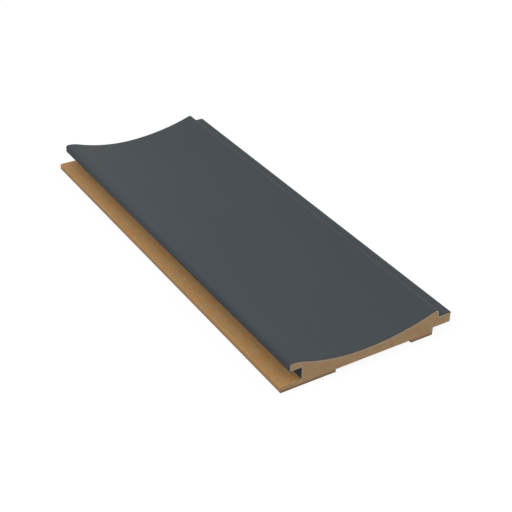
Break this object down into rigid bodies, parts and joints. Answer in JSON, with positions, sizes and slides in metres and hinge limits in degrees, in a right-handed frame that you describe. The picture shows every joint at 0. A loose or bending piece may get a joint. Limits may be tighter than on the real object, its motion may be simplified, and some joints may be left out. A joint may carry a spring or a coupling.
{
  "type": "wall cladding panel",
  "caption": "Flat-backed wall cladding panel with a scooped, foil-wrapped face, a tongue along one edge and a grooved nose with a fixing flange along the other.",
  "frame": {"origin": "centre of the panel's length and width, on the plane of the two back feet", "axes": "+Z from the back to the face, +Y along the length, +X across from the fixing flange to the tongue"},
  "size_m": [0.12, 0.3, 0.018],
  "materials": {
    "fibreboard": "bare medium density fibreboard, sawn ends and machined faces",
    "foil": "matt anthracite PVC foil"
  },
  "bodies": {
    "root": {"fibreboard_core": "fibreboard", "face_foil": "foil"}
  },
  "joints": []
}
